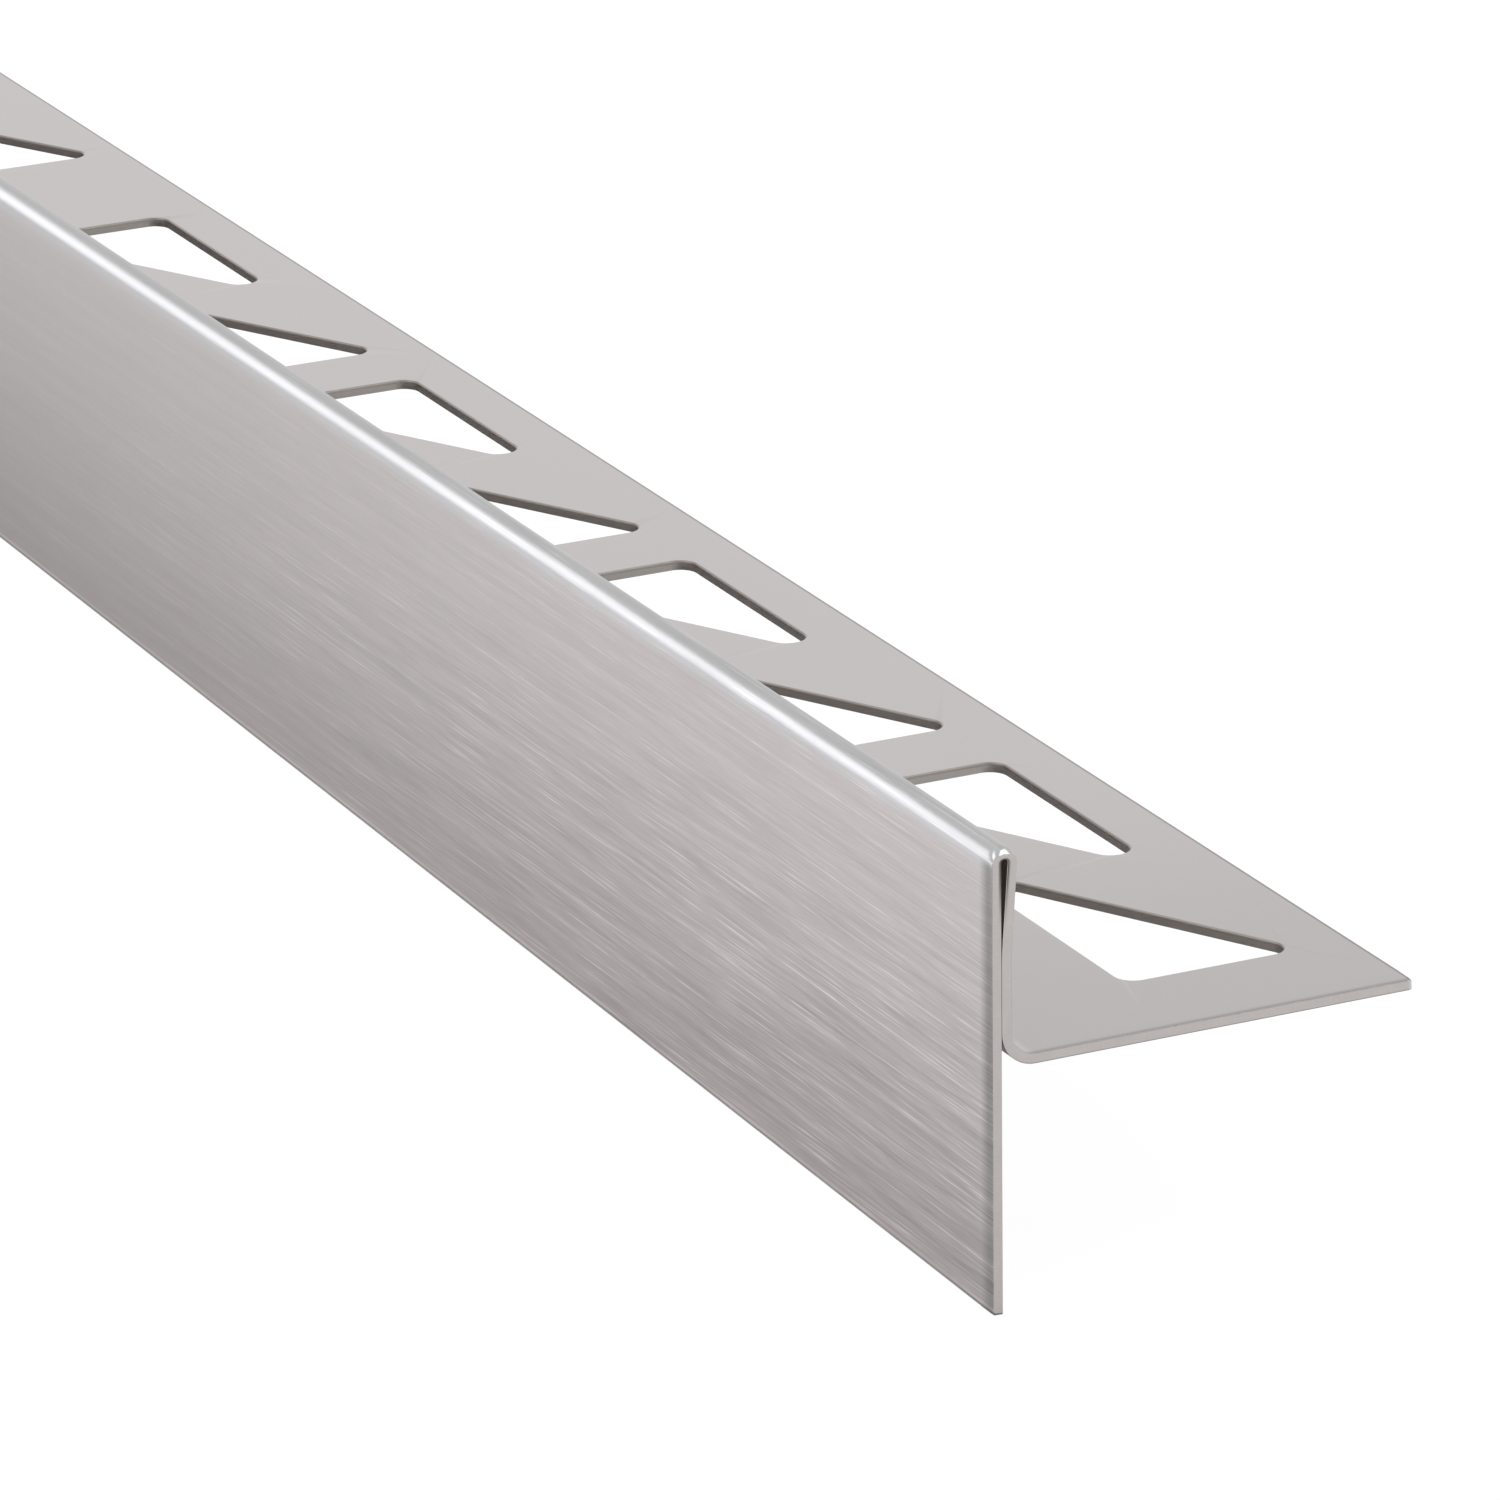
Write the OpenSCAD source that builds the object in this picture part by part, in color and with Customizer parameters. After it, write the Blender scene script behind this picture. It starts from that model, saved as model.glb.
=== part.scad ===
// Tapered tile edge profile for a floor-level shower, folded from one strip of stainless steel.
// A punched leg is bedded under the tile, a web and a folded hem close the tile's edge,
// and the front leg, cut to a fall, covers the growing step beside the sloped floor.

/* [Length and heights] */
// Length of the strip, measured along the leg
profile_l = 900; // [300:50:2500]
// Height from the leg's underside to the top of the hem, the tile with its adhesive
tile_h = 12.5; // [10:0.5:30]
// How far the front leg reaches below the leg at the deep end
fall = 14.1; // [5:0.1:60]

/* [Sheet and folds] */
// Thickness of the sheet
sheet_t = 0.6; // [0.4:0.1:1]
// Clear width inside the rounded top of the hem
hem_gap = 0.4; // [0.3:0.05:0.6]
// Clear width between the front leg and the web below the hem
seam_gap = 0.1; // [0.05:0.05:0.2]
// Height over which the hem closes from its full gap to the seam
hem_close_h = 6; // [4.8:0.1:7]
// Inside radius where the web turns straight below the hem
seam_r = 20; // [2:1:26]
// Inside radius of the fold from the web into the leg
leg_fold_r = 1.4; // [0.6:0.1:3]

/* [Punched leg] */
// Width over the profile, from the front face to the leg's outer edge
leg_w = 25.7; // [25:0.1:60]
// Distance from the front face to the inner side of the holes
hole_in = 11.7; // [6:0.1:12]
// Size of a hole across the leg
hole_w = 10.2; // [5:0.1:11]
// Length of a hole's long side
hole_long = 20; // [10:0.1:30]
// Length of a hole's short side
hole_short = 1.3; // [1:0.1:8]
// Width of the struts between the holes
strut_w = 6.3; // [3:0.1:15]
// Number of pairs of holes that one stroke of the punch makes
stroke_pairs = 4; // [1:1:12]
// Width of the strut between the holes of two strokes
stroke_land = 15.7; // [6:0.1:30]
// How much further out the holes of every second stroke lie
stroke_shift = 1.1; // [0:0.1:1.2]
// Distance from the deep end to the first hole
end_land = 6.9; // [3:0.1:20]
// Radius of the holes' corners
hole_r = 1.1; // [0.3:0.1:1.5]

/* [Hidden] */
steel = [0.72, 0.71, 0.70];
fold_step = 5;  // degrees between the points of a fold
corner_step = 15;  // degrees between the points of a hole's corner
reach = 1;  // how far a cutting shape runs past what it cuts

// The hem: the web leans in by hem_lean below the half turn, then straightens at the seam
hem_r = hem_gap / 2;
hem_top_r = hem_r + sheet_t;
lean_r = hem_r + sheet_t + seam_r;
lean_in = hem_gap - seam_gap;
lean_run = sqrt(pow(lean_r - lean_in, 2) + pow(hem_close_h, 2) - pow(lean_r, 2));
hem_lean = atan2(hem_close_h, lean_r - lean_in) - atan2(lean_run, lean_r);

// The straight runs of the section, from the front leg's lower edge to the leg's outer edge
front_run = fall + tile_h - hem_top_r;
web_run = tile_h - hem_top_r - hem_close_h - leg_fold_r - sheet_t;
leg_run = leg_w - 2 * sheet_t - seam_gap - leg_fold_r;

// Each fold: the run before it, its turn to the left in degrees, its inside radius
folds = [
    [front_run, -180 - hem_lean, hem_r],
    [lean_run, hem_lean, seam_r],
    [web_run, 90, leg_fold_r]
];

// The holes: pairs of right trapezoids, the second turned half round, with equal struts between.
// A short side that is too short for its two corners is rounded from end to end.
hole_slant = (hole_long - hole_short) / hole_w;
slant_strut_x = strut_w * sqrt(1 + pow(hole_slant, 2));
pair_pitch = hole_long + slant_strut_x + hole_short + strut_w;
outer_hole_x = hole_short + slant_strut_x;
tip_r = min(hole_r, hole_short / (1 + tan(atan(1 / hole_slant) / 2)));
hole_room = profile_l - end_land;

// The strip stands on the sloped lower edge of its front leg, so the leg rises with the fall
pitch = atan(fall / profile_l);
edge_l = sqrt(pow(profile_l, 2) + pow(fall, 2));
mid_x = (edge_l - tile_h * sin(pitch)) / 2;

function unit(a) = [cos(a), sin(a)];

function heading(i) = i == 0 ? 90 : heading(i - 1) + folds[i - 1][1];

function mid_r(i) = folds[i][2] + sheet_t / 2;

// Where the sheet's middle line starts and leaves the turn of fold i, and the turn's centre
function turn_start(i) =
    (i == 0 ? [sheet_t / 2, -fall] : turn_end(i - 1)) + folds[i][0] * unit(heading(i));

function turn_centre(i) =
    turn_start(i) + sign(folds[i][1]) * mid_r(i) * unit(heading(i) + 90);

function turn_end(i) =
    turn_centre(i) - sign(folds[i][1]) * mid_r(i) * unit(heading(i + 1) + 90);

// The points of fold i on the face that lies at distance off to the left of the middle line
function turn_points(i, off) =
    let (
        side = sign(folds[i][1]),
        steps = ceil(abs(folds[i][1]) / fold_step)
    )
    [for (k = [0 : steps])
        turn_centre(i)
            - (side * mid_r(i) - off) * unit(heading(i) + 90 + folds[i][1] * k / steps)];

function face_points(off) =
    let (last = len(folds) - 1)
    [
        [sheet_t / 2 - off, -fall],
        for (i = [0 : last]) each turn_points(i, off),
        turn_end(last) + [leg_run, off]
    ];

function reversed(points) = [for (i = [len(points) - 1 : -1 : 0]) points[i]];

// Where pair k of the holes starts, measured from the deep end, and where its inner side lies
function pair_x(k) =
    end_land + k * pair_pitch + floor(k / stroke_pairs) * (stroke_land - strut_w);

function pair_y(k) = hole_in + (floor(k / stroke_pairs) % 2) * stroke_shift;

// A corner between two straight sides, replaced by the points of an arc that touches both
function corner_arc(before, corner, after, r) =
    let (
        in = (corner - before) / norm(corner - before),
        out = (after - corner) / norm(after - corner),
        turn = acos(in * out),
        side = sign(in.x * out.y - in.y * out.x),
        centre = corner + r / cos(turn / 2) * (out - in) / norm(out - in),
        from = atan2(in.y, in.x) - 90 * side,
        steps = ceil(turn / corner_step)
    )
    [for (k = [0 : steps]) centre + r * unit(from + side * turn * k / steps)];

function rounded(points, radii) =
    let (n = len(points))
    [for (i = [0 : n - 1])
        each corner_arc(points[(i + n - 1) % n], points[i], points[(i + 1) % n], radii[i])];

// Outline of one hole, with its square corner at the origin, its long side along +X
// and its short side across the leg along +Y
function hole_outline() = rounded(
    [[0, 0], [hole_long, 0], [hole_short, hole_w], [0, hole_w]],
    [hole_r, hole_r, tip_r, tip_r]
);

module section() {
    polygon(concat(face_points(-sheet_t / 2), reversed(face_points(sheet_t / 2))));
}

module folded_strip() {
    rotate([90, 0, 90]) linear_extrude(profile_l) section();
}

module hole_cutter() {
    translate([0, 0, -reach]) linear_extrude(sheet_t + 2 * reach) polygon(hole_outline());
}

// x is measured from the deep end, which lies at profile_l
module inner_hole(x, y) {
    if (x + hole_long <= hole_room)
        translate([profile_l - x, y, 0]) mirror([1, 0, 0]) hole_cutter();
}

module outer_hole(x, y) {
    if (x + hole_long <= hole_room)
        translate([profile_l - x - hole_long, y + hole_w, 0]) mirror([0, 1, 0]) hole_cutter();
}

module hole_pattern() {
    for (k = [0 : profile_l / hole_long]) {
        inner_hole(pair_x(k), pair_y(k));
        outer_hole(pair_x(k) + outer_hole_x, pair_y(k));
    }
}

// What lies below the sloped lower edge of the front leg, kept clear of the web and the leg
module fall_cut() {
    rise = fall * reach / profile_l;
    translate([0, sheet_t + seam_gap / 2, 0]) rotate([90, 0, 0])
        linear_extrude(sheet_t + seam_gap / 2 + reach)
            polygon([
                [-reach, rise],
                [profile_l + reach, -fall - rise],
                [profile_l + reach, -fall - reach],
                [-reach, -fall - reach]
            ]);
}

module wedge_profile() {
    color(steel)
        translate([-mid_x, -leg_w / 2, 0]) rotate([0, -pitch, 0])
            difference() {
                folded_strip();
                hole_pattern();
                fall_cut();
            }
}

wedge_profile();
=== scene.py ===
from math import acos, atan, atan2, ceil, cos, exp, pi, radians, sin, sqrt, tan

import bmesh
import bpy
from mathutils import Matrix, Vector
from mathutils.geometry import delaunay_2d_cdt


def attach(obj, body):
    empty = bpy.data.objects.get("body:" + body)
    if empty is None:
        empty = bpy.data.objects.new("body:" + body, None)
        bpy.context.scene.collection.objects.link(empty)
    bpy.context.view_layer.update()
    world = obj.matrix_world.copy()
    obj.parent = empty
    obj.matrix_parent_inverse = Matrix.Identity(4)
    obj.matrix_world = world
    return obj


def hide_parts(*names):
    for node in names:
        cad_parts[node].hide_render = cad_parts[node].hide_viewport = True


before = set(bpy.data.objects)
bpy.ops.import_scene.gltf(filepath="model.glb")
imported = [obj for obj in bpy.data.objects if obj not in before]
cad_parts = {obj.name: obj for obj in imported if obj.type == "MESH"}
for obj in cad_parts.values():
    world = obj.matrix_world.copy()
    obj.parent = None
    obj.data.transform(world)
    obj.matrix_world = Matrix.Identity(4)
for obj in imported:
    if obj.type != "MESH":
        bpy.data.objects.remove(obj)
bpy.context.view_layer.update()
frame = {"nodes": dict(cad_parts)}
print("frame loaded:", ", ".join(frame["nodes"]))

mm = 0.001  # Blender works in metres, the strip's own sizes are in millimetres
seedsApart = (7.3, 3.1, 1.0)  # how far the noises of two seeds lie apart
grainRoughness = 0.55


# Node trees

class Wire:
    # One output of a node. Python's operators on it add Math nodes.
    def __init__(self, desk, socket):
        self.desk = desk
        self.socket = socket

    def maths(self, operation, first, second=0.0):
        return self.desk.add("Math", {"operation": operation}, {0: first, 1: second})

    def __add__(self, other):
        return self.maths("ADD", self, other)

    def __radd__(self, other):
        return self.maths("ADD", other, self)

    def __sub__(self, other):
        return self.maths("SUBTRACT", self, other)

    def __rsub__(self, other):
        return self.maths("SUBTRACT", other, self)

    def __mul__(self, other):
        return self.maths("MULTIPLY", self, other)


class NodeDesk:
    # A cleared node tree that nodes are added to
    def __init__(self, tree):
        self.tree = tree
        tree.nodes.clear()

    def find(self, sockets, key):
        if isinstance(key, int):
            return sockets[key]
        named = [s for s in sockets if s.identifier == key] or [s for s in sockets if s.name == key]
        return named[0]

    def add(self, kind, settings=None, sockets=None, out=0):
        node = self.tree.nodes.new("ShaderNode" + kind)
        for name, value in (settings or {}).items():
            setattr(node, name, value)
        for key, value in (sockets or {}).items():
            socket = self.find(node.inputs, key)
            if isinstance(value, Wire):
                self.tree.links.new(value.socket, socket)
            else:
                socket.default_value = value
        return Wire(self, self.find(node.outputs, out)) if len(node.outputs) else None

    def step(self, value, low, high):
        # 0 below low, 1 above high, smooth between
        return self.add("MapRange", {"interpolation_type": "SMOOTHSTEP"},
                        {"Value": value, "From Min": low, "From Max": high})

    def stepMm(self, value, span):
        # The same over a span in millimetres
        return self.step(value, span[0] * mm, span[1] * mm)

    def grain(self, place, size):
        # Noise around 0.5. Its size says how many mm its spots are long along the strip and wide
        # across it, then its seed and its detail.
        long, wide, seed, detail = size
        scale = (1 / (long * mm), 1 / (wide * mm), 0.0)
        stretched = self.add("VectorMath", {"operation": "MULTIPLY"}, {0: place, 1: scale})
        shift = [seed * apart for apart in seedsApart]
        moved = self.add("VectorMath", {"operation": "ADD"}, {0: stretched, 1: shift})
        return self.add("TexNoise", {"noise_dimensions": "3D"},
                        {"Vector": moved, "Scale": 1.0, "Detail": detail, "Roughness": grainRoughness})

    def tint(self, colour, level):
        # A colour made lighter or darker by a value around 1
        return self.add("VectorMath", {"operation": "SCALE"}, {0: colour, "Scale": level})

    def blend(self, first, second, share):
        # From the first colour to the second as share goes from 0 to 1
        sockets = {"Factor_Float": share, "A_Color": (*first, 1.0), "B_Color": (*second, 1.0)}
        return self.add("Mix", {"data_type": "RGBA"}, sockets, "Result_Color")


# Camera

camera = {
    "place": (0.889013, -0.242054, 0.219468),
    "turn": (69.3068, 0.3097, 63.7924),
    "lens": 242.291,
    "sensor": 36.0,
    "clip": (0.01, 50.0),
}


def makeCamera():
    data = bpy.data.cameras.new("camera")
    data.lens = camera["lens"]
    data.sensor_width = camera["sensor"]
    data.clip_start, data.clip_end = camera["clip"]
    obj = bpy.data.objects.new("camera", data)
    obj.location = camera["place"]
    obj.rotation_euler = [radians(a) for a in camera["turn"]]
    bpy.context.scene.collection.objects.link(obj)
    bpy.context.scene.camera = obj
    print("camera placed")


# The strip, in its own millimetres: x from the shallow end to the deep end,
# y back from the front face, z up from the leg's underside

strip = {
    "length": 900.0,
    "tileHeight": 12.5,      # leg's underside to the top of the hem
    "fall": 14.1,            # front leg below the leg at the deep end
    "sheet": 0.6,
    "hemGap": 0.4,
    "seamGap": 0.02,         # pressed nearly shut, closer than the solid's seam
    "hemClose": 6.0,
    "seamRadius": 20.0,
    "legFoldRadius": 1.4,
    "legWidth": 25.7,
    "edgeRoll": 0.14,        # rounding of the long edges on the outer side
    "edgeBurr": 0.03,        # and on the inner side
    "edgePoints": 3,
    "endRoll": 0.04,         # the same at the two cut ends
    "endBurr": 0.02,
    "hemEndRoll": 0.40,      # the hem's top is blunted more at the cut ends
    "hemEndWide": 0.50,      # mm round its middle
    "hemEndCurve": 1.5,      # the power by which it fades away from the end
    "endBendLong": 1.4,      # the outer side dips a little at both ends
    "endBendDeep": 0.015,
    "frontCorner": 0.09,     # rounding of the front leg's lower corners
    "legCorner": 0.24,       # and of the leg's outer ones
    "frontRows": 5,
    "legColumns": 3,
    "foldStep": 4.0,         # degrees between the points of a fold
    "ringEvery": 18.0,       # mm between the rings of points along the strip
    "rollAngles": (0, 30, 60, 90),  # where rings lie in the rolled ends and in the corners
    "cornerAngles": (60, 75, 90),
    "bendShares": (0.15, 0.35, 0.6, 1.0),  # and in the rest of the dip
    "brushedHem": 0.8,       # the share of the hem's turn that is brushed
}

holes = {
    "in": 11.7,              # front face to the holes' inner side
    "wide": 10.2,
    "long": 20.0,
    "short": 1.3,
    "strut": 6.3,
    "strokePairs": 4,        # one stroke of the punch makes four pairs of holes
    "strokeLand": 15.7,      # strut between two strokes
    "strokeShift": 1.1,      # every second stroke lies further out
    "endLand": 6.9,
    "radius": 1.1,
    "cornerStep": 9.0,
    "roll": 0.15,            # the punch rounds the upper edge this far out
    "rollDeep": 0.20,
    "rollPoints": 6,
    "burr": 0.03,
    "burrCurve": 0.3,        # the share of it where its middle lies
    "samePoint": 0.001,      # points as close as this are one
    "plateSlack": 1e-6,      # mm, for the triangles of the leg's flats
    "bakeLong": 38.0,        # the way round a hole gets this much of the baked map's length
}


# Where the leg turns flat, then how far along the sheet the hem's middle and its brushing lie
flatStart = 2 * strip["sheet"] + strip["seamGap"] + strip["legFoldRadius"]
hemMiddle = (strip["hemGap"] + strip["sheet"]) / 4 * pi
brushedTo = 2 * hemMiddle * strip["brushedHem"]


def unit(angle):
    return Vector((cos(radians(angle)), sin(radians(angle))))


class Trace:
    # Follows the middle of the sheet through one section and marks where it has been
    def __init__(self, spot, heading, way):
        self.spot = spot
        self.heading = heading
        self.way = way
        self.marks = []
        self.mark()

    def mark(self):
        self.marks.append((self.spot, unit(self.heading + 90), self.way))

    def run(self, length, steps=1):
        for _ in range(steps):
            self.spot = self.spot + unit(self.heading) * (length / steps)
            self.way += length / steps
            self.mark()

    def fold(self, turn, insideRadius):
        side = 1 if turn > 0 else -1
        radius = insideRadius + strip["sheet"] / 2
        centre = self.spot + unit(self.heading + 90) * side * radius
        steps = ceil(abs(turn) / strip["foldStep"])
        for _ in range(steps):
            self.heading += turn / steps
            self.way += radius * radians(abs(turn)) / steps
            self.spot = centre - unit(self.heading + 90) * side * radius
            self.mark()


def hemShape():
    # How far the web leans in below the hem, in degrees, and the straight run of that lean
    hemRadius = strip["hemGap"] / 2
    leanRadius = hemRadius + strip["sheet"] + strip["seamRadius"]
    leanIn = strip["hemGap"] - strip["seamGap"]
    close = strip["hemClose"]
    run = sqrt((leanRadius - leanIn) ** 2 + close ** 2 - leanRadius ** 2)
    lean = atan2(close, leanRadius - leanIn) - atan2(run, leanRadius)
    return lean * 180 / pi, run


def rounding(radius, fromEnd):
    # How far a rounded corner has drawn in at a distance from the end
    left = max(0.0, radius - fromEnd)
    return radius - sqrt(radius ** 2 - left ** 2)


def traceSection(x):
    # Way is counted from where the hem begins, so it is the same place in every section
    sheet = strip["sheet"]
    fromEnd = min(x, strip["length"] - x)
    hemRadius = strip["hemGap"] / 2
    hemTop = hemRadius + sheet
    lean, leanRun = hemShape()
    roll = strip["edgeRoll"]
    frontRun = (strip["fall"] * x / strip["length"] + strip["tileHeight"] - hemTop - roll
                - rounding(strip["frontCorner"], fromEnd))
    webRun = strip["tileHeight"] - hemTop - strip["hemClose"] - strip["legFoldRadius"] - sheet
    trace = Trace(Vector((sheet / 2, strip["tileHeight"] - hemTop - frontRun)), 90, -frontRun)
    trace.run(frontRun, strip["frontRows"])
    trace.fold(-180 - lean, hemRadius)
    trace.run(leanRun)
    trace.fold(lean, strip["seamRadius"])
    trace.run(webRun)
    trace.fold(90, strip["legFoldRadius"])
    legFrom = len(trace.marks) - 1
    legRun = strip["legWidth"] - flatStart - roll - rounding(strip["legCorner"], fromEnd)
    trace.run(legRun, strip["legColumns"])
    return trace.marks, legFrom


def endInset(side, way, fromEnd):
    # How far the outer or the inner side lies in from the full sheet near an end
    if side == -1:
        return rounding(strip["endBurr"], fromEnd)
    share = exp(-((way - hemMiddle) / strip["hemEndWide"]) ** 2)
    blunt = (strip["hemEndRoll"] - strip["endRoll"]) * share
    chamfer = blunt * max(0.0, 1 - fromEnd / strip["hemEndRoll"]) ** strip["hemEndCurve"]
    bend = strip["endBendDeep"] * max(0.0, 1 - fromEnd / strip["endBendLong"]) ** 2
    return bend + chamfer + rounding(strip["endRoll"], fromEnd)


def sidePoints(marks, side, fromEnd):
    # One side of the sheet from edge to edge: side 1 is the outer side, -1 the inner side
    roll = strip["edgeRoll"]
    radius = roll if side == 1 else strip["edgeBurr"]
    count = strip["edgePoints"]
    points = []
    for spot, left, way in marks:
        half = strip["sheet"] / 2 - endInset(side, way, fromEnd)
        points.append((spot + left * side * half, way))

    def edge(mark, forward):
        spot, left, way = mark
        inset = endInset(side, way, fromEnd)
        half = strip["sheet"] / 2 - inset
        ahead = Vector((left.y, -left.x)) * forward
        arc = []
        for i in range(count):
            angle = pi / 2 * i / count
            out = half - radius + radius * sin(angle)
            along = roll - inset - radius * (1 - cos(angle))
            arc.append((spot + left * side * out + ahead * along, way + forward * along))
        return arc

    return edge(marks[0], -1) + points + edge(marks[-1], 1)[::-1]


# Places on the developed sheet, in mm round the whole section. The unrolled sheet starts where
# the leg's underside begins, goes up inside the hem, down the inside of the front leg, round its
# edge, up the front face, over the hem and along the leg, and comes back underneath.

marksMiddle, legFrom = traceSection(strip["length"] / 2)
wayLegStart = marksMiddle[legFrom][2]
wayLegEnd = marksMiddle[-1][2]
frontRunMost = strip["fall"] / 2 - marksMiddle[0][2]
edgeRoom = 1.2  # for the way round a long edge
hemOuter = wayLegStart + 2 * frontRunMost + edgeRoom
legTop = hemOuter + wayLegStart
legOuterEdge = hemOuter + wayLegEnd
developed = legOuterEdge + edgeRoom + wayLegEnd - wayLegStart


def developedPlace(side, way, onLeg):
    if side == 1:
        return hemOuter + way
    if onLeg:
        return developed - (way - wayLegStart)
    return wayLegStart - way


# The baked map gives what shows most of its height. Each stretch: where it ends and its weight.
# After the sheet come rows for the walls of the holes and for the two end faces.
wallRow = developed + 1.0
rowStep = 1.6
hemShown = 3.2  # mm of the hem that face outwards
bakeStretches = [
    (wayLegStart, 0.5),
    (wayLegStart + frontRunMost, 0.5),
    (hemOuter - frontRunMost, 2.0),
    (hemOuter, 2.2),
    (hemOuter + hemShown, 2.6),
    (legTop, 0.8),
    (legOuterEdge, 1.3),
    (legOuterEdge + edgeRoom, 1.5),
    (developed, 0.5),
    (wallRow + 4 * rowStep, 1.5),
]
bakeMargin = 0.004


def bakePlace(along, place):
    # Where a point lies on the map that is baked through, both from 0 to 1
    total = 0.0
    reached = 0.0
    start = 0.0
    for end, weight in bakeStretches:
        total += (end - start) * weight
        reached += max(0.0, min(place, end) - start) * weight
        start = end
    room = 1 - 2 * bakeMargin
    return bakeMargin + room * along / strip["length"], bakeMargin + room * reached / total


class Skin:
    # Collects the points and faces of the strip, with each corner's place on the developed sheet
    def __init__(self):
        self.mesh = bmesh.new()
        self.placeMap = self.mesh.loops.layers.uv.new("sheetPlace")
        self.bakeMap = self.mesh.loops.layers.uv.new("OFBake")

    def point(self, x, spot):
        return self.mesh.verts.new((x * mm, spot[0] * mm, spot[1] * mm))

    def face(self, points, places, finish, bakes=None):
        made = self.mesh.faces.new(points)
        made.material_index = finish
        made.smooth = True
        for loop, place, bake in zip(made.loops, places, bakes or places):
            loop[self.placeMap].uv = (place[0] * mm, place[1] * mm)
            loop[self.bakeMap].uv = bakePlace(*bake)


brushed, rolled, sheared, punched = 0, 1, 2, 3  # material slots of the strip


def ringStations():
    # Distances along the strip, close together in the rolled-over ends
    roll = strip["endRoll"]
    corner = strip["legCorner"]
    bend = strip["endBendLong"]
    near = [roll * (1 - cos(radians(a))) for a in strip["rollAngles"]]
    for radius in (strip["frontCorner"], corner):
        near += [radius * (1 - cos(radians(a))) for a in strip["cornerAngles"]]
    near += [corner + (bend - corner) * share for share in strip["bendShares"]]
    room = strip["length"] - 2 * bend
    count = ceil(room / strip["ringEvery"])
    middle = [bend + room * i / count for i in range(1, count)]
    return near + middle + [strip["length"] - d for d in reversed(near)], len(near)


def finishOf(side, way):
    # Brushed on the front face and over the hem, plain rolled everywhere else
    return brushed if side == 1 and way < brushedTo else rolled


def sweepSheet(skin):
    # Rings of points along the strip, joined into the folded sheet. The flat of the leg stays
    # open between the ends, and its rims are returned for the punched plates.
    stations, endCount = ringStations()
    rings = []
    for x in stations:
        marks, _ = traceSection(x)
        fromEnd = min(x, strip["length"] - x)
        sides = {}
        for side in (1, -1):
            points = sidePoints(marks, side, fromEnd)
            sides[side] = [(skin.point(x, spot), way) for spot, way in points]
        rings.append((x, sides))
    count = len(rings[0][1][1])
    edgePoints = strip["edgePoints"]
    legIndex = legFrom + edgePoints
    legLast = legIndex + strip["legColumns"]
    first, last = endCount - 1, len(rings) - endCount
    for r in range(len(rings) - 1):
        (xa, ringA), (xb, ringB) = rings[r], rings[r + 1]
        between = first <= r < last
        edgeFinish = rolled if between else brushed  # the long edges, and their last mm
        for side in (1, -1):
            a, b = ringA[side], ringB[side]
            for i in range(count - 1):
                onLeg = i >= legIndex
                if between and legIndex <= i < legLast:
                    continue
                corners = [(xa, a[i]), (xb, b[i]), (xb, b[i + 1]), (xa, a[i + 1])]
                places = [(x, developedPlace(side, p[1], onLeg)) for x, p in corners]
                atEdge = i < edgePoints or i >= legLast
                finish = edgeFinish if atEdge else finishOf(side, (a[i][1] + a[i + 1][1]) / 2)
                skin.face([p[0] for _, p in corners], places, finish)
        for i, onLeg in ((0, False), (count - 1, True)):  # the flat of each long edge
            corners = [(xa, 1, ringA[1][i]), (xb, 1, ringB[1][i]),
                       (xb, -1, ringB[-1][i]), (xa, -1, ringA[-1][i])]
            places = [(x, developedPlace(side, p[1], onLeg)) for x, side, p in corners]
            skin.face([p[0] for _, _, p in corners], places, edgeFinish)
    for number, (_, sides) in enumerate((rings[0], rings[-1])):
        closeEnd(skin, sides, wallRow + (2 + number) * rowStep)
    rims = {}
    for side in (1, -1):
        low = [(x, sides[side][legIndex]) for x, sides in rings[first:last + 1]]
        high = [(x, sides[side][legLast]) for x, sides in rings[first:last + 1]]
        deep = [(rings[last][0], rings[last][1][side][i]) for i in range(legIndex + 1, legLast)]
        shallow = [(rings[first][0], rings[first][1][side][i]) for i in range(legIndex + 1, legLast)]
        rims[side] = low + deep + high[::-1] + shallow[::-1]
    print("sheet folded,", len(rings), "rings of", 2 * count, "points")
    return rims


def closeEnd(skin, sides, row):
    # The sheared end face: a strip across the thickness, from edge to edge
    outer, inner = sides[1], sides[-1]
    low, high = outer[0][1], outer[-1][1]
    for i in range(len(outer) - 1):
        points = [outer[i], outer[i + 1], inner[i + 1], inner[i]]
        depths = [0, 0, strip["sheet"], strip["sheet"]]
        places = [(way, depth) for (_, way), depth in zip(points, depths)]
        bakes = [((way - low) / (high - low) * strip["length"], row + depth) for way, depth in places]
        skin.face([p for p, _ in points], places, sheared, bakes)


# The punched leg

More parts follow.
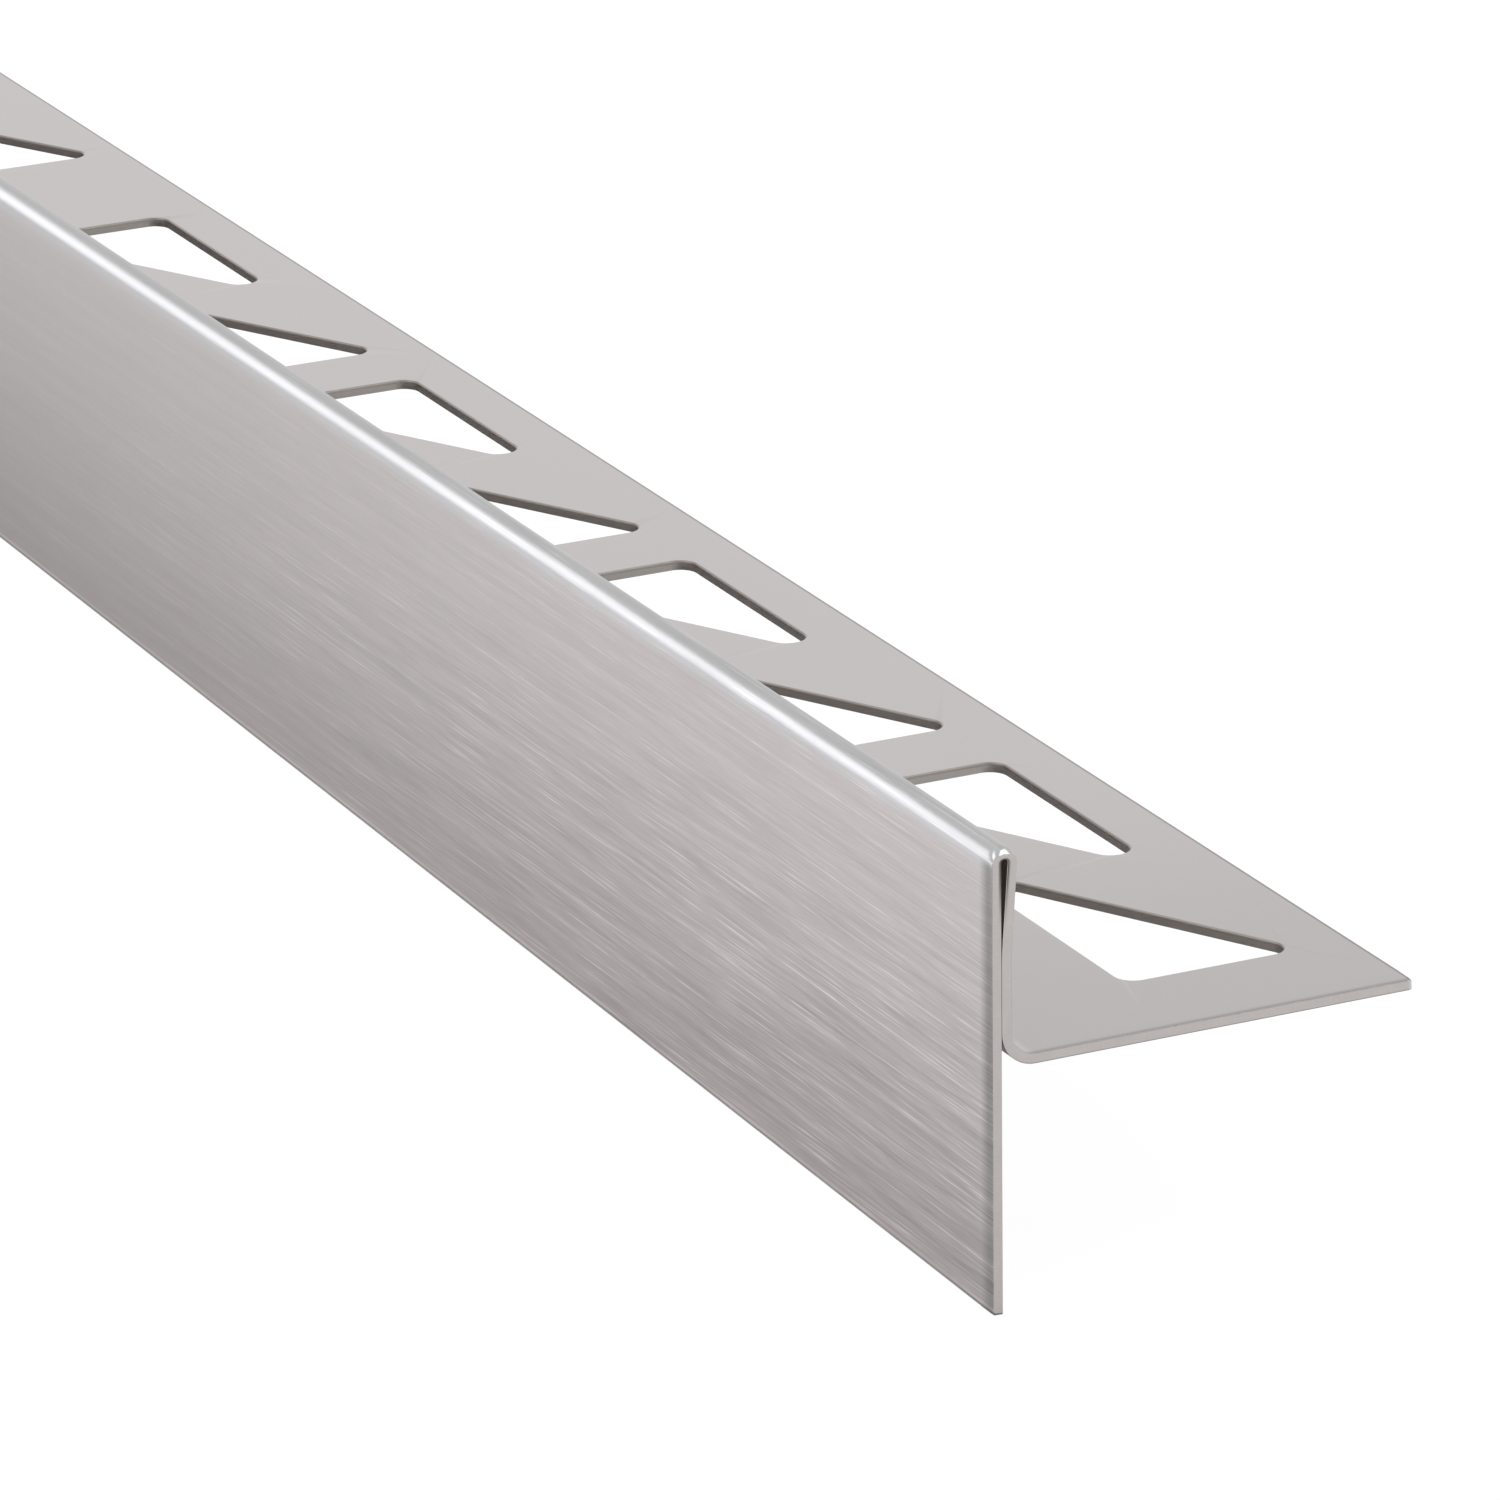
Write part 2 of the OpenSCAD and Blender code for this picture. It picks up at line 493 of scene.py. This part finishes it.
def holeArcs():
    # Centre, radius and angles of each rounded corner of a hole, round a right trapezoid with its
    # square corner at the origin. Where a side is rounded from end to end, its two corners share
    # a point, which is taken once.
    long, short, wide = holes["long"], holes["short"], holes["wide"]
    slant = (long - short) / wide
    tip = min(holes["radius"], short / (1 + tan(atan(1 / slant) / 2)))
    corners = [Vector(c) for c in ((0, 0), (long, 0), (short, wide), (0, wide))]
    radii = [holes["radius"], holes["radius"], tip, tip]
    arcs = []
    last = None
    for i, (corner, radius) in enumerate(zip(corners, radii)):
        before, after = corners[i - 1], corners[(i + 1) % 4]
        goIn = (corner - before).normalized()
        goOut = (after - corner).normalized()
        turn = acos(goIn.dot(goOut))
        centre = corner + (goOut - goIn).normalized() * radius / cos(turn / 2)
        start = atan2(goIn.y, goIn.x) - pi / 2
        steps = ceil(turn * 180 / pi / holes["cornerStep"])
        for k in range(steps + 1):
            angle = start + turn * k / steps
            spot = centre + radius * Vector((cos(angle), sin(angle)))
            if last is None or (spot - last).length > holes["samePoint"]:
                arcs.append((centre, radius, angle))
            last = spot
    return arcs


def holeOutlines():
    # Whether each hole lies in the outer row, where it starts, counted from the deep end,
    # and where its inner side lies
    slant = (holes["long"] - holes["short"]) / holes["wide"]
    slantStrut = holes["strut"] * sqrt(1 + slant ** 2)
    pitch = holes["long"] + slantStrut + holes["short"] + holes["strut"]
    room = strip["length"] - holes["endLand"] - holes["long"]
    placed = []
    for pair in range(ceil(room / pitch)):
        stroke = pair // holes["strokePairs"]
        start = holes["endLand"] + pair * pitch + stroke * (holes["strokeLand"] - holes["strut"])
        inner = holes["in"] + stroke % 2 * holes["strokeShift"]
        for outer, x in ((False, start), (True, start + holes["short"] + slantStrut)):
            if x <= room:
                placed.append((outer, x, inner))
    return placed


def holeRing(hole, arcs, spread):
    outer, x, inner = hole
    ring = []
    for centre, radius, angle in arcs:
        px = centre.x + (radius + spread) * cos(angle)
        py = centre.y + (radius + spread) * sin(angle)
        if outer:
            ring.append((strip["length"] - x - holes["long"] + px, inner + holes["wide"] - py))
        else:
            ring.append((strip["length"] - x - px, inner + py))
    return ring


def wallProfile():
    # From the leg's top down through a hole: how far out of the hole's outline, and the height
    sheet, count = strip["sheet"], holes["rollPoints"]
    steps = [pi / 2 * i / count for i in range(count + 1)]
    profile = [(holes["roll"] * (1 - sin(a)), sheet - holes["rollDeep"] * (1 - cos(a))) for a in steps]
    burr, curve = holes["burr"], holes["burr"] * holes["burrCurve"]
    return profile + [(0, burr), (curve, curve), (burr, 0)]


def platePlace(side, x, y):
    # The developed place of a point on the flat of the leg
    return x, developedPlace(side, wayLegStart + y - flatStart, True)


def punchHoles(skin):
    # Walls of every hole, with their upper and lower rims returned for the plates
    arcs = holeArcs()
    profile = wallProfile()
    topRims, bottomRims = [], []
    for hole in holeOutlines():
        outer, x, _ = hole
        outlines = [holeRing(hole, arcs, spread) for spread, _ in profile]
        rings = []
        for ring, (_, z) in zip(outlines, profile):
            rings.append([skin.point(px, (py, z)) for px, py in ring])
        outline = holeRing(hole, arcs, 0)
        count = len(outline)
        ways = [0.0]
        for i in range(count):
            step = Vector(outline[(i + 1) % count]) - Vector(outline[i])
            ways.append(ways[-1] + step.length)
        depths = [0.0]
        for (s0, z0), (s1, z1) in zip(profile, profile[1:]):
            depths.append(depths[-1] + sqrt((s1 - s0) ** 2 + (z1 - z0) ** 2))
        middle = strip["length"] - x - holes["long"] / 2
        squeeze = holes["bakeLong"] / ways[-1]
        row = wallRow + (rowStep if outer else 0)
        for k in range(len(profile) - 1):
            for i in range(count):
                j = (i + 1) % count
                points = [rings[k][i], rings[k][j], rings[k + 1][j], rings[k + 1][i]]
                spots = [(ways[i], depths[k]), (ways[i + 1], depths[k]),
                         (ways[i + 1], depths[k + 1]), (ways[i], depths[k + 1])]
                bakes = [(min(max(middle + (w - ways[-1] / 2) * squeeze, 0), strip["length"]), row + d)
                         for w, d in spots]
                skin.face(points, spots, punched, bakes)
        topRims.append(list(zip(outlines[0], rings[0])))
        bottomRims.append(list(zip(outlines[-1], rings[-1])))
    print("holes punched:", len(topRims))
    return topRims, bottomRims


def layPlate(skin, side, rim, holeRims):
    # The flat of the leg between its rim and the rims of the holes
    spots, verts, owners, edges = [], [], [], []

    def addLoop(loop, owner):
        base = len(spots)
        for spot, vert in loop:
            spots.append(Vector(spot))
            verts.append(vert)
            owners.append(owner)
        edges.extend((base + i, base + (i + 1) % len(loop)) for i in range(len(loop)))

    addLoop([((x, flatStart + way - wayLegStart), vert) for x, (vert, way) in rim], 0)
    for number, loop in enumerate(holeRims):
        addLoop(loop, number + 1)
    result = delaunay_2d_cdt(spots, edges, [], 0, holes["plateSlack"])
    triangles, origins = result[2], result[3]
    for triangle in triangles:
        found = [origins[i][0] for i in triangle]
        inside = {owners[i] for i in found}
        if len(inside) == 1 and inside != {0}:  # within one hole
            continue
        skin.face([verts[i] for i in found], [platePlace(side, *spots[i]) for i in found], rolled)


def makeStrip(finishes):
    skin = Skin()
    rims = sweepSheet(skin)
    topRims, bottomRims = punchHoles(skin)
    layPlate(skin, 1, rims[1], topRims)
    layPlate(skin, -1, rims[-1], bottomRims)
    bmesh.ops.recalc_face_normals(skin.mesh, faces=skin.mesh.faces)

    # The strip stands on the sloped lower edge of its front leg
    pitch = atan(strip["fall"] / strip["length"])
    edgeLong = sqrt(strip["length"] ** 2 + strip["fall"] ** 2)
    middle = (edgeLong - strip["tileHeight"] * sin(pitch)) / 2
    turn = Matrix.Rotation(-pitch, 4, "Y")
    seat = Matrix.Translation((-middle * mm, -strip["legWidth"] / 2 * mm, 0)) @ turn
    bmesh.ops.transform(skin.mesh, matrix=seat, verts=skin.mesh.verts)

    mesh = bpy.data.meshes.new("foldedStrip")
    skin.mesh.to_mesh(mesh)
    openEdges = sum(1 for e in skin.mesh.edges if not e.is_manifold)
    skin.mesh.free()
    for finish in finishes:
        mesh.materials.append(finish)
    obj = bpy.data.objects.new("foldedStrip", mesh)
    bpy.context.scene.collection.objects.link(obj)
    shading = obj.modifiers.new("flatsFirst", "WEIGHTED_NORMAL")
    shading.mode = "FACE_AREA"
    shading.weight = 100
    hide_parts("wedge_profile")
    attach(obj, "root")
    print("strip made:", len(mesh.polygons), "faces,", openEdges, "open edges")


# Finishes of the steel. A look's grains say how many mm their spots are long along the strip and
# wide across it, then their seed and detail. Its spans say where a change begins and ends: in mm,
# or for a grain in shares of its height.

brushedLook = {
    "colour": (0.506, 0.473, 0.470),
    "hemColour": (0.54, 0.54, 0.552),
    "hemSpan": (-0.2, 0.9),      # below the hem, where its colour turns into the face's
    "frontSpan": (-0.3, 0.3),    # and where the front face begins
    "roughness": 0.34,
    "hemRoughness": 0.04,        # added over the hem
    "gritRoughness": 0.06,
    "streakRoughness": 0.02,
    "across": 0.55,              # how much rougher the steel is across its brush lines
    "streak": 0.76,              # contrast of the brush lines
    "wideGrain": (16.0, 0.60, 1, 2.0),
    "fineGrain": (5.5, 0.18, 2, 3.0),
    "fineShare": 0.8,
    "hair": 0.95,                # lightness of the bright ones among them
    "hairGrain": (9.0, 0.085, 3, 1.0),
    "hairSpan": (0.58, 0.74),
    "longHairGrain": (34.0, 0.13, 9, 1.0),
    "longHairSpan": (0.63, 0.78),
    "breakGrain": (2.2, 0.3, 7, 2.0),
    "breakSpan": (0.34, 0.60),
    "unbroken": 0.60,            # what the breaks leave of the lines
    "wave": 0.35,                # mm that the lines wander up and down
    "waveGrain": (25.0, 5.0, 8, 2.0),
    "pressure": 0.45,            # how much they come and go along the strip
    "pressureLong": 0.30,        # metres
    "upper": 0.4,                # their strength near the hem, before they grow to full
    "upperSpan": (2.0, 16.0),
    "band": 0.12,
    "bandGrain": (90.0, 0.9, 4, 2.0),
    "cloud": 0.05,
    "cloudGrain": (60.0, 10.0, 5, 2.0),
    "grit": 0.14,
    "gritGrain": (0.8, 0.06, 6, 3.0),
    "endShade": 0.50,            # painted shade on the front face where its cut ends turn in
    "endShadeSpan": (0.3, 1.5),
    "endShadeLow": 0.34,         # less so low down
    "endShadeLowSpan": (10.0, 22.0),
    "edgeShadeLine": 0.35,            # painted shade along its lower edge, with a painted highlight line above that
    "edgeShadeLineSpan": (0.02, 0.12),
    "edgeHighlight": 0.28,
    "edgeHighlightSpan": (0.10, 0.16),
    "edgeHighlightEnd": (0.26, 0.36),
    "tip": 0.14,                 # how much smoother the blunted ends of the hem are
    "tipSpan": (0.15, 0.45),
    "depth": 0.0000025,          # of its relief, in metres
}

rolledLook = {
    "colour": (0.625, 0.585, 0.592),
    "roughness": 0.36,
    "gritRoughness": 0.05,
    "cloudRoughness": 0.04,
    "line": 0.03,
    "lineGrain": (20.0, 0.25, 11, 2.0),
    "cloud": 0.04,
    "cloudGrain": (35.0, 9.0, 12, 2.0),
    "grit": 0.02,
    "gritGrain": (0.4, 0.12, 13, 3.0),
    "endShade": 0.12,            # painted shade at the ends
    "endShadeLeg": 0.24,         # and more painted shade on the leg
    "endShadeSpan": (0.0, 0.5),
    "endTone": 0.10,             # and a little darker over a longer span
    "endToneSpan": (0.0, 42.0),
    "legSpan": 1.0,              # mm of the fold over which the leg's share comes in
    "edgeShadeLine": 0.40,            # painted shade: a dark line along the leg's outer edge
    "edgeShadeLineSpan": (0.07, 0.14),
    "depth": 0.000001,
    "hemInsideGlow": (0.008, 0.0065, 0.004),  # painted light: a faint glow standing in for what the closed hem sends back
    "hemInsideGlowSpan": (6.0, 7.5),  # on both sides of where the hem begins
}

shearedLook = {
    "colour": (0.52, 0.487, 0.471),
    "roughness": 0.42,
    "blotchRoughness": 0.1,
    "marks": 0.14,
    "markGrain": (0.07, 0.6, 21, 2.0),
    "blotchGrain": (1.5, 0.8, 22, 2.0),
    "rim": 0.60,                 # painted shade: a dark line where the face meets the leg's underside
    "rimWide": 0.07,
    "rimFold": 2.0,              # mm of the fold over which it comes in
    "hemRim": 0.9,               # and a darker, wider painted shade round the open hem
    "hemRimWide": 0.23,
    "hemRimSpan": (1.0, 5.0),
    "depth": 0.000003,
}

punchedLook = {
    "colour": (0.42, 0.392, 0.366),
    "rollSpan": (0.0, 0.10),     # below the sheet's face, where the cut takes its colour
    "rollShade": 0.32,           # painted shade on the rounding, up to these depths
    "rollShadeSpan": (0.20, 0.32),
    "roughness": 0.42,
    "blotchRoughness": 0.1,
    "marks": 0.12,
    "markGrain": (0.07, 0.6, 31, 2.0),
    "blotchGrain": (1.5, 0.8, 32, 2.0),
    "depth": 0.000004,
}

brushTurn = 0.25  # of a whole turn, from the tangent to the brush lines


def newMaterial(name):
    material = bpy.data.materials.new(name)
    material.use_nodes = True
    return material, NodeDesk(material.node_tree)


def sheetPlaces(desk):
    # The place on the developed sheet, then its parts along and across the strip, in metres
    place = desk.add("UVMap", {"uv_map": "sheetPlace"})
    along = desk.add("SeparateXYZ", None, {"Vector": place}, "X")
    across = desk.add("SeparateXYZ", None, {"Vector": place}, "Y")
    return place, along, across


def steelShader(desk, colour, roughness, height, depth, anisotropy=0.0, glow=None):
    bump = desk.add("Bump", None, {"Strength": 1.0, "Distance": depth, "Height": height})
    sockets = {"Base Color": colour, "Metallic": 1.0, "Roughness": roughness, "Normal": bump,
               "Anisotropic": anisotropy, "Anisotropic Rotation": brushTurn}
    if glow:
        sockets.update({"Emission Color": glow, "Emission Strength": 1.0})
    shader = desk.add("BsdfPrincipled", None, sockets)
    desk.add("OutputMaterial", None, {"Surface": shader})


def fromEnds(along):
    return along.maths("MINIMUM", along, strip["length"] * mm - along)


def atLeast(low, share):
    # From low to 1 as share goes from 0 to 1
    return low + share * (1 - low)


def makeBrushed():
    look = brushedLook
    material, desk = newMaterial("brushedSteel")
    place, along, across = sheetPlaces(desk)
    belowHem = hemOuter * mm - across
    fromEnd = fromEnds(along)
    slope = strip["fall"] / strip["length"]
    aboveEdge = frontRunMost * mm - strip["fall"] * mm + along * slope - belowHem

    # Brush lines, lighter and darker than the face, with a few bright hairs. They come and go
    # along the strip and grow stronger away from the hem.
    wander = (desk.grain(place, look["waveGrain"]) - 0.5) * (look["wave"] * mm)
    shift = desk.add("CombineXYZ", None, {"Y": wander})
    brush = desk.add("VectorMath", {"operation": "ADD"}, {0: place, 1: shift})
    wide = desk.grain(brush, look["wideGrain"]) - 0.5
    fine = desk.grain(brush, look["fineGrain"]) - 0.5
    hair = desk.step(desk.grain(brush, look["hairGrain"]), *look["hairSpan"])
    longHair = desk.step(desk.grain(brush, look["longHairGrain"]), *look["longHairSpan"])
    breaks = desk.step(desk.grain(brush, look["breakGrain"]), *look["breakSpan"])
    low = desk.stepMm(belowHem, look["upperSpan"])
    turn = (strip["length"] * mm - along) * (2 * pi / look["pressureLong"])
    pressure = 1 - look["pressure"] + turn.maths("COSINE", turn) * look["pressure"]
    lines = wide + fine * look["fineShare"] + (hair + longHair) * look["hair"]
    streaks = lines * atLeast(look["unbroken"], breaks) * atLeast(look["upper"], low) * pressure
    bands = desk.grain(place, look["bandGrain"])
    clouds = desk.grain(place, look["cloudGrain"])
    grit = desk.grain(place, look["gritGrain"])
    level = (1 + streaks * look["streak"] + (bands - 0.5) * look["band"]
             + (clouds - 0.5) * look["cloud"] + (grit - 0.5) * look["grit"])

    # Painted shade at the cut ends and along the lower edge, and a painted highlight above that edge
    front = desk.stepMm(belowHem, look["frontSpan"])
    face = desk.stepMm(belowHem, look["hemSpan"])
    nearEnd = 1 - desk.stepMm(fromEnd, look["endShadeSpan"])
    nearEdge = 1 - desk.stepMm(aboveEdge, look["edgeShadeLineSpan"])
    overEdge = (desk.stepMm(aboveEdge, look["edgeHighlightSpan"])
                - desk.stepMm(aboveEdge, look["edgeHighlightEnd"]))
    lowest = desk.stepMm(belowHem, look["endShadeLowSpan"])
    endShade = look["endShade"] + lowest * (look["endShadeLow"] - look["endShade"])
    shade = ((1 - nearEnd * front * endShade) * (1 - nearEdge * look["edgeShadeLine"])
             * (1 + overEdge * look["edgeHighlight"]))
    colour = desk.tint(desk.blend(look["hemColour"], look["colour"], face), level * shade)
    tip = 1 - desk.stepMm(fromEnd, look["tipSpan"])
    roughness = (look["roughness"] + (grit - 0.5) * look["gritRoughness"]
                 - streaks * look["streakRoughness"] + (1 - face) * look["hemRoughness"]
                 - tip * look["tip"] * (1 - front))
    steelShader(desk, colour, roughness, streaks + grit, look["depth"], look["across"])
    return material


def makeRolled():
    look = rolledLook
    material, desk = newMaterial("rolledSteel")
    place, along, across = sheetPlaces(desk)
    lines = desk.grain(place, look["lineGrain"])
    clouds = desk.grain(place, look["cloudGrain"])
    grit = desk.grain(place, look["gritGrain"])
    level = (1 + (lines - 0.5) * look["line"] + (clouds - 0.5) * look["cloud"]
             + (grit - 0.5) * look["grit"])
    fromEdge = across.maths("ABSOLUTE", legOuterEdge * mm - across)
    edgeShadeLine = 1 - desk.stepMm(fromEdge, look["edgeShadeLineSpan"])
    fromEnd = fromEnds(along)
    nearEnd = 1 - desk.stepMm(fromEnd, look["endShadeSpan"])
    tone = 1 - desk.stepMm(fromEnd, look["endToneSpan"])
    onLeg = desk.stepMm(across, (legTop - look["legSpan"], legTop))
    shade = ((1 - edgeShadeLine * look["edgeShadeLine"]) * (1 - tone * look["endTone"])
             * (1 - nearEnd * (look["endShade"] + onLeg * look["endShadeLeg"])))
    colour = desk.tint(look["colour"], level * shade)
    roughness = (look["roughness"] + (grit - 0.5) * look["gritRoughness"]
                 + (clouds - 0.5) * look["cloudRoughness"])
    # Painted light: the closed hem glows faintly near where it begins
    fromHem = across.maths("ABSOLUTE", across - wayLegStart * mm)
    inside = 1 - desk.stepMm(fromHem, look["hemInsideGlowSpan"])
    glow = desk.tint(look["hemInsideGlow"], inside)
    steelShader(desk, colour, roughness, lines + grit, look["depth"], glow=glow)
    return material


def shearedShade(desk, way, depth):
    # Painted shade: dark lines where an end face meets the leg's underside and the inside of the hem
    look, sheet = shearedLook, strip["sheet"]
    rim = (desk.stepMm(depth, (sheet - look["rimWide"], sheet))
           * desk.stepMm(way, (wayLegStart - look["rimFold"], wayLegStart)))
    fromHem = way.maths("ABSOLUTE", way - hemMiddle * mm)
    hemRim = (desk.stepMm(depth, (sheet - look["hemRimWide"], sheet))
              * (1 - desk.stepMm(fromHem, look["hemRimSpan"])))
    return look["colour"], (1 - rim * look["rim"]) * (1 - hemRim * look["hemRim"])


def punchedShade(desk, way, depth):
    # The rounded upper edge of a hole starts in the sheet's own colour, then takes painted shade
    look = punchedLook
    cut = desk.stepMm(depth, look["rollSpan"])
    below = desk.stepMm(depth, look["rollShadeSpan"])
    colour = desk.blend(rolledLook["colour"], look["colour"], cut)
    return colour, 1 - cut * (1 - below) * look["rollShade"]


def makeCut(name, look, shadeOf):
    # Cut steel: the tool leaves its lines across the thickness
    material, desk = newMaterial(name)
    place, way, depth = sheetPlaces(desk)
    marks = desk.grain(place, look["markGrain"])
    blotch = desk.grain(place, look["blotchGrain"])
    level = 1 + (marks - 0.5) * look["marks"] + (blotch - 0.5) * look["marks"]
    base, shade = shadeOf(desk, way, depth)
    colour = desk.tint(base, level * shade)
    roughness = look["roughness"] + (blotch - 0.5) * look["blotchRoughness"]
    steelShader(desk, colour, roughness, marks, look["depth"])
    return material


# Floor, world and lamps

room = {
    "floorHalf": 4.0,             # metres, like every distance here
    "floorDrop": 0.00002,
    "floorColour": 0.85,          # the floor's white, for the light that it passes on
    "seenColour": 0.08,           # to the camera: the part that takes shadow
    "seenGlow": 0.955,            # and the part that takes none
    "mirroredColour": 0.76,       # the same two as the steel mirrors them
    "mirroredGlow": 0.28,
    "mirroredSpan": (-0.010, 0.045),  # painted shadow near the strip: away from it, where that mirrored glow comes up
    "mirroredEnds": 0.026,        # beyond the strip's ends it stays as it is this far away
    "endSteepness": 40.0,         # and gets there so many times sooner
    "mirroredFar": 0.82,          # painted shade: towards the shallow end the mirrored floor is only this bright
    "mirroredFarSpan": (0.22, 0.40),  # a stretch along the strip
    "hemGlow": 1.05,              # painted light: a glow added before the strip, where the hem mirrors the floor
    "hemGlowSpan": (0.045, 0.10),
    "hemHue": (0.985, 0.98, 1.0),
    "skyLight": 0.8,              # strength of its light, when the camera and the steel see 1
    "skyHigh": (0.70, 0.70, 0.68),  # the sky that the steel mirrors, well above the floor
    "skyHighSpan": (0.325, 0.40),  # heights over which it darkens, as sines of angles
    "skyTop": 0.45,               # how far it lightens again towards the top
    "skyTopSpan": (0.42, 0.60),
}

lamps = {
    "hemLamp": {"at": (-1.70, -0.74, 0.36), "size": (1.6, 1.1), "power": 6.2, "hue": (0.985, 0.98, 1.0)},
    "fillLamp": {"at": (0.3, -1.3, 1.5), "size": (1.2, 1.2), "power": 6.0, "hue": (1.0, 1.0, 1.0)},
    "endLamp": {"at": (0.81, 0.43, 0.85), "size": (0.3, 0.3), "power": 1.1, "hue": (1.0, 1.0, 1.0)},
}
lampTarget = Vector((0.2, 0.0, 0.01))


def makeFloor():
    half = room["floorHalf"]
    corners = [(-half, -half), (half, -half), (half, half), (-half, half)]
    mesh = bpy.data.meshes.new("floor")
    mesh.from_pydata([(x, y, -room["floorDrop"]) for x, y in corners], [], [(0, 1, 2, 3)])
    material, desk = newMaterial("paleFloor")
    seen = desk.add("LightPath", None, None, "Is Camera Ray")
    mirrored = desk.add("LightPath", None, None, "Is Glossy Ray")
    spot = desk.add("NewGeometry", None, None, "Position")
    lengthways = desk.add("SeparateXYZ", None, {"Vector": spot}, "X")
    sideways = desk.add("SeparateXYZ", None, {"Vector": spot}, "Y")
    pastEnd = lengthways.maths("ABSOLUTE", lengthways) - strip["length"] / 2 * mm
    pastSide = sideways.maths("ABSOLUTE", sideways) - strip["legWidth"] / 2 * mm
    steepEnd = pastEnd * room["endSteepness"]
    atEnd = steepEnd.maths("MINIMUM", steepEnd, room["mirroredEnds"])
    away = atEnd.maths("MAXIMUM", atEnd, pastSide)  # from the strip's footprint
    before = sideways.maths("LESS_THAN", sideways, 0.0)
    # Painted light and shade that only the steel mirrors: a glow before the strip for the hem's
    # highlight, and less glow near the strip and towards the shallow end
    forHem = mirrored * before * desk.step(away, *room["hemGlowSpan"])
    glow = (seen * room["seenGlow"]
            + mirrored * desk.step(away, *room["mirroredSpan"]) * room["mirroredGlow"])
    near = desk.step(lengthways, *room["mirroredFarSpan"])
    share = 1 - mirrored * (1 - near) * (1 - room["mirroredFar"])
    other = 1 - (seen + mirrored)
    white = seen * room["seenColour"] + mirrored * room["mirroredColour"] + other * room["floorColour"]
    matt = desk.add("BsdfDiffuse", None, {"Color": desk.tint((1, 1, 1), white * share)})
    hue = desk.blend((1, 1, 1), room["hemHue"], forHem)
    strength = glow * share + forHem * room["hemGlow"]
    shining = desk.add("Emission", None, {"Color": hue, "Strength": strength})
    both = desk.add("AddShader", None, {0: matt, 1: shining})
    desk.add("OutputMaterial", None, {"Surface": both})
    mesh.materials.append(material)
    obj = bpy.data.objects.new("floor", mesh)
    bpy.context.scene.collection.objects.link(obj)
    print("floor laid")


def makeWorld():
    world = bpy.data.worlds.new("studio")
    world.use_nodes = True
    bpy.context.scene.world = world
    desk = NodeDesk(world.node_tree)
    seen = desk.add("LightPath", None, None, "Is Camera Ray")
    mirrored = desk.add("LightPath", None, None, "Is Glossy Ray")
    direction = desk.add("TexCoord", None, None, "Generated")
    height = desk.add("SeparateXYZ", None, {"Vector": direction}, "Z")
    top = desk.step(height, *room["skyTopSpan"]) * room["skyTop"]
    high = desk.step(height, *room["skyHighSpan"]) * (1 - top) * mirrored
    colour = desk.blend((1, 1, 1), room["skyHigh"], high)
    strength = atLeast(room["skyLight"], seen + mirrored)
    sky = desk.add("Background", None, {"Color": colour, "Strength": strength})
    desk.add("OutputWorld", None, {"Surface": sky})
    print("world made")


def makeLamps():
    for name, lamp in lamps.items():
        data = bpy.data.lights.new(name, "AREA")
        data.shape = "RECTANGLE"
        data.size, data.size_y = lamp["size"]
        data.energy = lamp["power"]
        data.color = lamp["hue"]
        obj = bpy.data.objects.new(name, data)
        obj.location = lamp["at"]
        obj.rotation_euler = (lampTarget - obj.location).to_track_quat("-Z", "Y").to_euler()
        bpy.context.scene.collection.objects.link(obj)
    print("lamps hung:", len(lamps))


makeCamera()
makeFloor()
makeWorld()
makeLamps()
makeStrip([makeBrushed(), makeRolled(), makeCut("shearedSteel", shearedLook, shearedShade),
           makeCut("punchedSteel", punchedLook, punchedShade)])
bpy.context.scene.view_settings.view_transform = "Standard"
